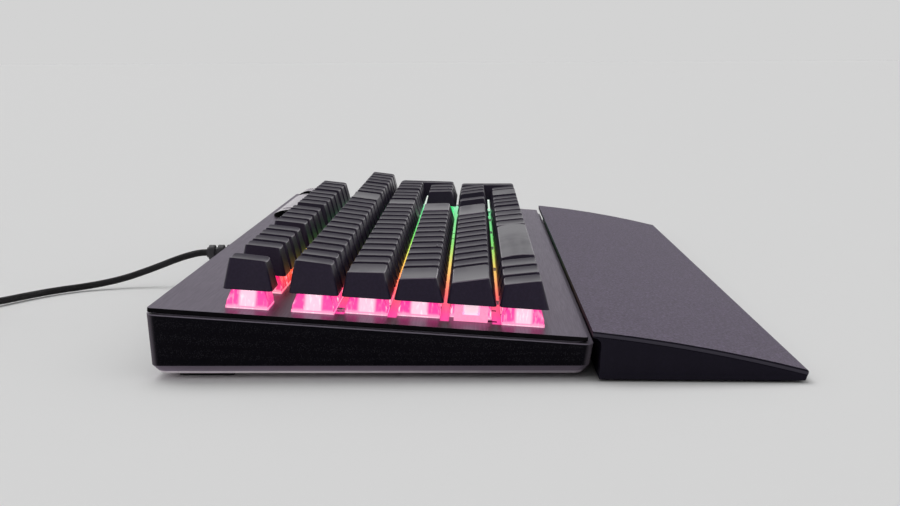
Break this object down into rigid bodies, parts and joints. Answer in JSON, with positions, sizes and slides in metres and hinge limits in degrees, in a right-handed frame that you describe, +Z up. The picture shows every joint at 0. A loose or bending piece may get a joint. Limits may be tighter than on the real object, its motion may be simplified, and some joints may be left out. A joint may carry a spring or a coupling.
{
  "type": "mechanical keyboard",
  "caption": "Full-size mechanical keyboard with sculpted floating keycaps over lit clear switches, a metal plate, a drafted case, fold-out feet and a sloped wrist rest.",
  "frame": {"origin": "middle of the footprint of the keyboard and wrist rest, at the level of the rubber feet", "axes": "+X along the key rows towards the number pad, +Y from the typist to the back, +Z up"},
  "size_m": [0.457, 0.4203, 0.0425],
  "materials": {
    "plate_metal": "satin",
    "case_plastic": "textured",
    "board": "gloss",
    "clear_plastic": "clear",
    "switch_plastic": "satin",
    "led_lens": "glowing",
    "spring_steel": "polished",
    "screw_steel": "satin",
    "foot_rubber": "matt",
    "strip_metal": "satin",
    "cord_rubber": "matt",
    "cord_braid": "braided",
    "plug_plastic": "satin",
    "rest_plastic": "fine texture",
    "rest_skin": "soft touch",
    "magnet": "plated",
    "keycap_plastic": "semi-gloss",
    "stem_plastic": "satin"
  },
  "bodies": {
    "keyboard": {"top_plate": "plate_metal", "bottom_case": "case_plastic", "circuit_board": "board", "switch_tops": "clear_plastic", "switch_bases": "switch_plastic", "switch_leds": "led_lens", "switch_springs": "spring_steel", "stabilizer_housings": "switch_plastic", "stabilizer_wires": "spring_steel", "case_screws": "screw_steel", "case_feet": "foot_rubber", "media_strip": "strip_metal", "strain_relief": "cord_rubber", "cord_run": "cord_braid", "cord_coil": "cord_braid", "cord_tail": "cord_braid", "cord_tie": "cord_braid", "usb_plug": "plug_plastic"},
    "roller": {"volume_roller": "strip_metal"},
    "button": {"media_button": "strip_metal"},
    "left_flip": {"left_foot": "case_plastic", "left_foot_tip": "foot_rubber"},
    "right_flip": {"right_foot": "case_plastic", "right_foot_tip": "foot_rubber"},
    "wrist_rest": {"rest_base": "rest_plastic", "rest_pad": "rest_skin", "rest_feet": "foot_rubber", "rest_magnets": "magnet"},
    "letter_keys": {"letter_caps": "keycap_plastic", "letter_stems": "stem_plastic"},
    "number_keys": {"number_caps": "keycap_plastic", "number_stems": "stem_plastic"},
    "function_keys": {"function_caps": "keycap_plastic", "function_stems": "stem_plastic"},
    "navigation_keys": {"navigation_caps": "keycap_plastic", "navigation_stems": "stem_plastic"},
    "pad_keys": {"pad_caps": "keycap_plastic", "pad_stems": "stem_plastic"},
    "modifier_keys": {"modifier_caps": "keycap_plastic", "modifier_stems": "stem_plastic"},
    "escape_key": {"escape_cap": "keycap_plastic", "escape_stem": "stem_plastic"},
    "backspace_key": {"backspace_cap": "keycap_plastic", "backspace_stem": "stem_plastic"},
    "tab_key": {"tab_cap": "keycap_plastic", "tab_stem": "stem_plastic"},
    "caps_lock_key": {"caps_lock_cap": "keycap_plastic", "caps_lock_stem": "stem_plastic"},
    "enter_key": {"enter_cap": "keycap_plastic", "enter_stem": "stem_plastic"},
    "left_shift_key": {"left_shift_cap": "keycap_plastic", "left_shift_stem": "stem_plastic"},
    "right_shift_key": {"right_shift_cap": "keycap_plastic", "right_shift_stem": "stem_plastic"},
    "space_key": {"space_bar": "keycap_plastic", "space_stem": "stem_plastic"},
    "pad_zero_key": {"pad_zero_cap": "keycap_plastic", "pad_zero_stem": "stem_plastic"},
    "pad_tall_keys": {"pad_tall_caps": "keycap_plastic", "pad_tall_stems": "stem_plastic"}
  },
  "joints": [
    {"name": "letter_press", "type": "slide", "parent": "keyboard", "child": "letter_keys", "axis": [0, 0.0698, -0.9976], "range_m": [0, 0.004], "stiffness_N_per_m": 2040, "springref_m": -0.008, "deforming": ["switch_springs"]},
    {"name": "number_press", "type": "slide", "parent": "keyboard", "child": "number_keys", "axis": [0, 0.0698, -0.9976], "range_m": [0, 0.004], "stiffness_N_per_m": 780, "springref_m": -0.008, "deforming": ["switch_springs"]},
    {"name": "function_press", "type": "slide", "parent": "keyboard", "child": "function_keys", "axis": [0, 0.0698, -0.9976], "range_m": [0, 0.004], "stiffness_N_per_m": 720, "springref_m": -0.008, "deforming": ["switch_springs"]},
    {"name": "navigation_press", "type": "slide", "parent": "keyboard", "child": "navigation_keys", "axis": [0, 0.0698, -0.9976], "range_m": [0, 0.004], "stiffness_N_per_m": 780, "springref_m": -0.008, "deforming": ["switch_springs"]},
    {"name": "pad_press", "type": "slide", "parent": "keyboard", "child": "pad_keys", "axis": [0, 0.0698, -0.9976], "range_m": [0, 0.004], "stiffness_N_per_m": 840, "springref_m": -0.008, "deforming": ["switch_springs"]},
    {"name": "modifier_press", "type": "slide", "parent": "keyboard", "child": "modifier_keys", "axis": [0, 0.0698, -0.9976], "range_m": [0, 0.004], "stiffness_N_per_m": 420, "springref_m": -0.008, "deforming": ["switch_springs"]},
    {"name": "escape_press", "type": "slide", "parent": "keyboard", "child": "escape_key", "axis": [0, 0.0698, -0.9976], "range_m": [0, 0.004], "stiffness_N_per_m": 60, "springref_m": -0.008, "deforming": ["switch_springs"]},
    {"name": "backspace_press", "type": "slide", "parent": "keyboard", "child": "backspace_key", "axis": [0, 0.0698, -0.9976], "range_m": [0, 0.004], "stiffness_N_per_m": 60, "springref_m": -0.008, "deforming": ["switch_springs", "stabilizer_wires"]},
    {"name": "tab_press", "type": "slide", "parent": "keyboard", "child": "tab_key", "axis": [0, 0.0698, -0.9976], "range_m": [0, 0.004], "stiffness_N_per_m": 60, "springref_m": -0.008, "deforming": ["switch_springs"]},
    {"name": "caps_lock_press", "type": "slide", "parent": "keyboard", "child": "caps_lock_key", "axis": [0, 0.0698, -0.9976], "range_m": [0, 0.004], "stiffness_N_per_m": 60, "springref_m": -0.008, "deforming": ["switch_springs"]},
    {"name": "enter_press", "type": "slide", "parent": "keyboard", "child": "enter_key", "axis": [0, 0.0698, -0.9976], "range_m": [0, 0.004], "stiffness_N_per_m": 60, "springref_m": -0.008, "deforming": ["switch_springs", "stabilizer_wires"]},
    {"name": "left_shift_press", "type": "slide", "parent": "keyboard", "child": "left_shift_key", "axis": [0, 0.0698, -0.9976], "range_m": [0, 0.004], "stiffness_N_per_m": 60, "springref_m": -0.008, "deforming": ["switch_springs", "stabilizer_wires"]},
    {"name": "right_shift_press", "type": "slide", "parent": "keyboard", "child": "right_shift_key", "axis": [0, 0.0698, -0.9976], "range_m": [0, 0.004], "stiffness_N_per_m": 60, "springref_m": -0.008, "deforming": ["switch_springs", "stabilizer_wires"]},
    {"name": "space_press", "type": "slide", "parent": "keyboard", "child": "space_key", "axis": [0, 0.0698, -0.9976], "range_m": [0, 0.004], "stiffness_N_per_m": 60, "springref_m": -0.008, "deforming": ["switch_springs", "stabilizer_wires"]},
    {"name": "pad_zero_press", "type": "slide", "parent": "keyboard", "child": "pad_zero_key", "axis": [0, 0.0698, -0.9976], "range_m": [0, 0.004], "stiffness_N_per_m": 60, "springref_m": -0.008, "deforming": ["switch_springs", "stabilizer_wires"]},
    {"name": "pad_tall_press", "type": "slide", "parent": "keyboard", "child": "pad_tall_keys", "axis": [0, 0.0698, -0.9976], "range_m": [0, 0.004], "stiffness_N_per_m": 120, "springref_m": -0.008, "deforming": ["switch_springs", "stabilizer_wires"]},
    {"name": "roller_turn", "type": "hinge", "parent": "keyboard", "child": "roller", "pos_m": [0.19699, 0.10432, 0.02409], "axis": [1, 0, 0], "continuous": true},
    {"name": "button_press", "type": "slide", "parent": "keyboard", "child": "button", "axis": [0, 0.0698, -0.9976], "range_m": [0, 0.0008], "stiffness_N_per_m": 300, "springref_m": -0.002},
    {"name": "left_foot_fold", "type": "hinge", "parent": "keyboard", "child": "left_flip", "pos_m": [-0.17631, 0.10719, 0.004], "axis": [1, 0, 0], "range_deg": [0, 100]},
    {"name": "right_foot_fold", "type": "hinge", "parent": "keyboard", "child": "right_flip", "pos_m": [0.17631, 0.10719, 0.004], "axis": [1, 0, 0], "range_deg": [0, 100]},
    {"name": "rest_pull", "type": "slide", "parent": "keyboard", "child": "wrist_rest", "axis": [0, -1, 0], "range_m": [0, 0.05]}
  ]
}
